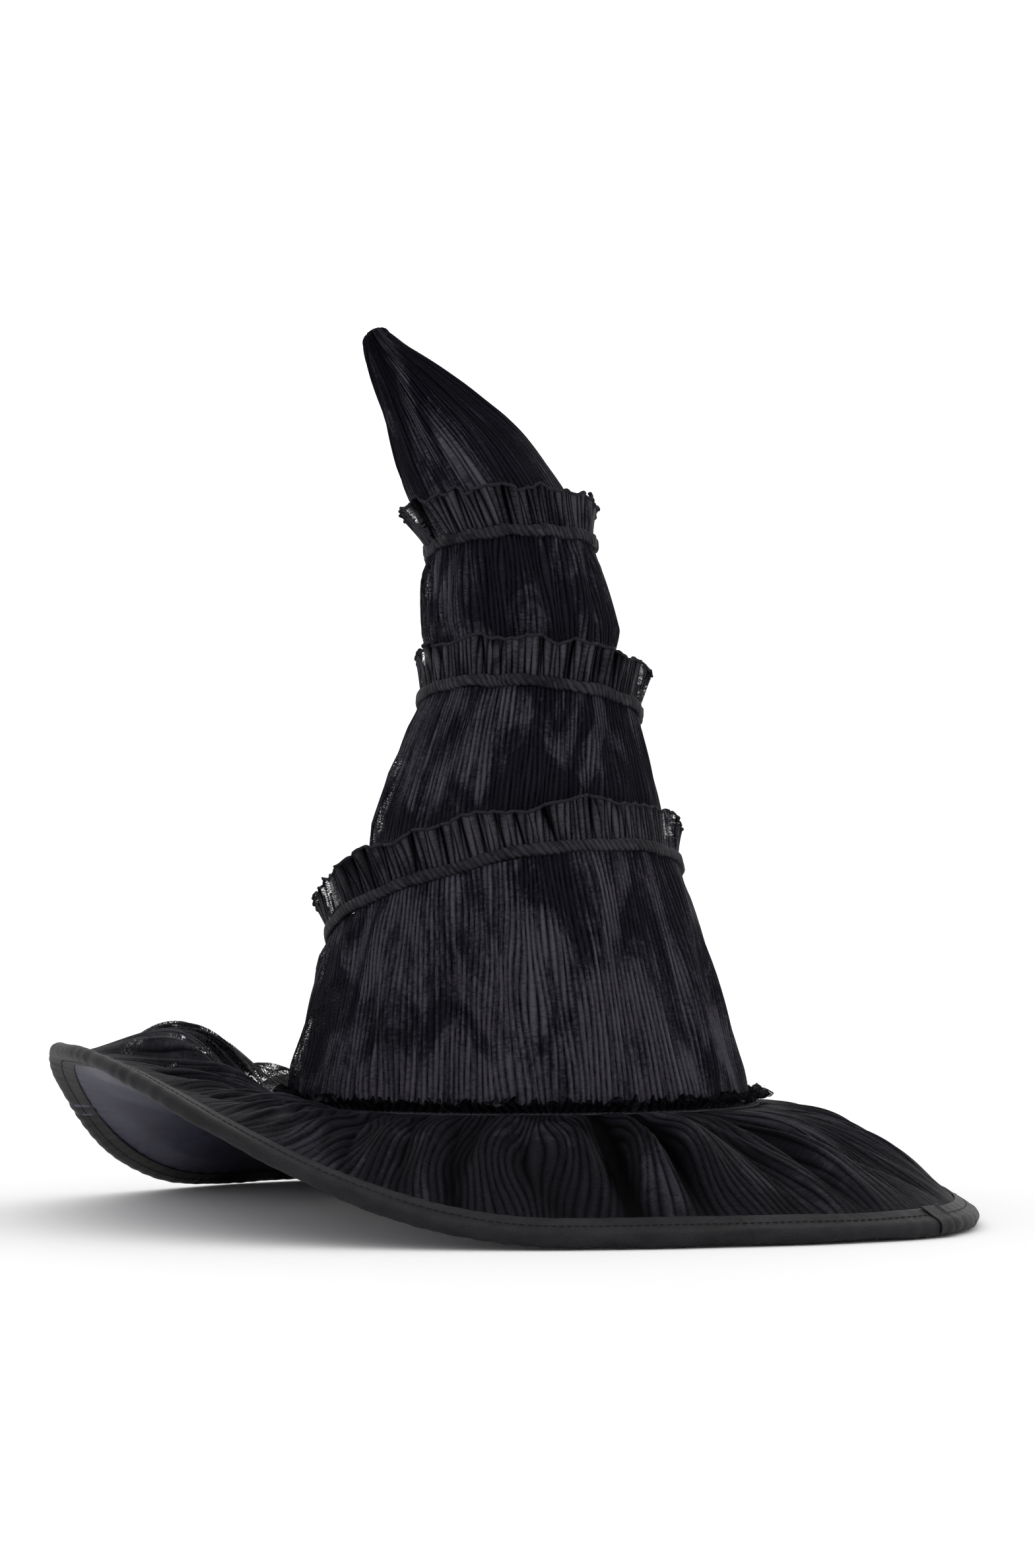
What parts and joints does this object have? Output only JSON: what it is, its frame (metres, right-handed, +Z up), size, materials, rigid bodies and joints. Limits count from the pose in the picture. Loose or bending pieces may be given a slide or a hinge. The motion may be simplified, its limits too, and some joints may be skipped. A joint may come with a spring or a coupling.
{
  "type": "witch hat",
  "caption": "Tall pointed witch hat with a tiered crinkled crown, ruffled seams, a bent tip and a wide wired brim curled up on one side.",
  "frame": {"origin": "centre of the head opening, level with the seam between crown and brim", "axes": "+Z up out of the crown, -Y the hat's front, +X the wearer's left; the crown leans towards -X and +Y"},
  "size_m": [0.3835, 0.3969, 0.3769],
  "materials": {
    "crinkle_gauze": "matte sheer crinkle-pleated gauze",
    "satin": "soft satin",
    "foam": "fabric-backed foam",
    "crown_lining": "knitted lining",
    "brim_lining_satin": "dull satin",
    "folded_band": "folded gauze",
    "binding": "ribbed bias binding",
    "cotton_cord": "twisted cotton",
    "edge_wire": "spring steel",
    "joiner_metal": "pressed brass",
    "gathering_tape": "woven tape",
    "grosgrain": "grosgrain ribbon",
    "buckram": "foam-backed buckram"
  },
  "bodies": {
    "brim_and_tier_one": {"base_frill": "crinkle_gauze", "binding_lap": "binding", "brim_board": "buckram", "brim_gauze_cover": "crinkle_gauze", "brim_lining": "brim_lining_satin", "brim_satin": "satin", "edge_binding": "binding", "edge_wire": "edge_wire", "frill_tape": "gathering_tape", "low_band": "folded_band", "low_gathering_cord": "cotton_cord", "low_ruffle": "crinkle_gauze", "sweatband": "grosgrain", "tier_one_foam": "foam", "tier_one_gauze": "crinkle_gauze", "tier_one_lining": "crown_lining", "tier_one_satin": "satin", "wire_joiner": "joiner_metal"},
    "tier_two": {"mid_band": "folded_band", "mid_gathering_cord": "cotton_cord", "mid_ruffle": "crinkle_gauze", "tier_two_foam": "foam", "tier_two_gauze": "crinkle_gauze", "tier_two_lining": "crown_lining", "tier_two_satin": "satin"},
    "tier_three": {"tier_three_foam": "foam", "tier_three_gauze": "crinkle_gauze", "tier_three_lining": "crown_lining", "tier_three_satin": "satin", "top_band": "folded_band", "top_gathering_cord": "cotton_cord", "top_ruffle": "crinkle_gauze"},
    "tip": {"tip_foam": "foam", "tip_gauze": "crinkle_gauze", "tip_satin": "satin"}
  },
  "joints": [
    {"name": "crown_lean", "type": "hinge", "parent": "brim_and_tier_one", "child": "tier_two", "pos_m": [-0.006, 0.008, 0.083], "axis": [0, 1, 0], "range_deg": [-10, 6]},
    {"name": "upper_lean", "type": "hinge", "parent": "tier_two", "child": "tier_three", "pos_m": [0.004, 0.016, 0.1665], "axis": [0, 1, 0], "range_deg": [-3, 10]},
    {"name": "tip_bend", "type": "hinge", "parent": "tier_three", "child": "tip", "pos_m": [-0.0037, 0.022, 0.2353], "axis": [0, 1, 0], "range_deg": [-2, 16]}
  ]
}
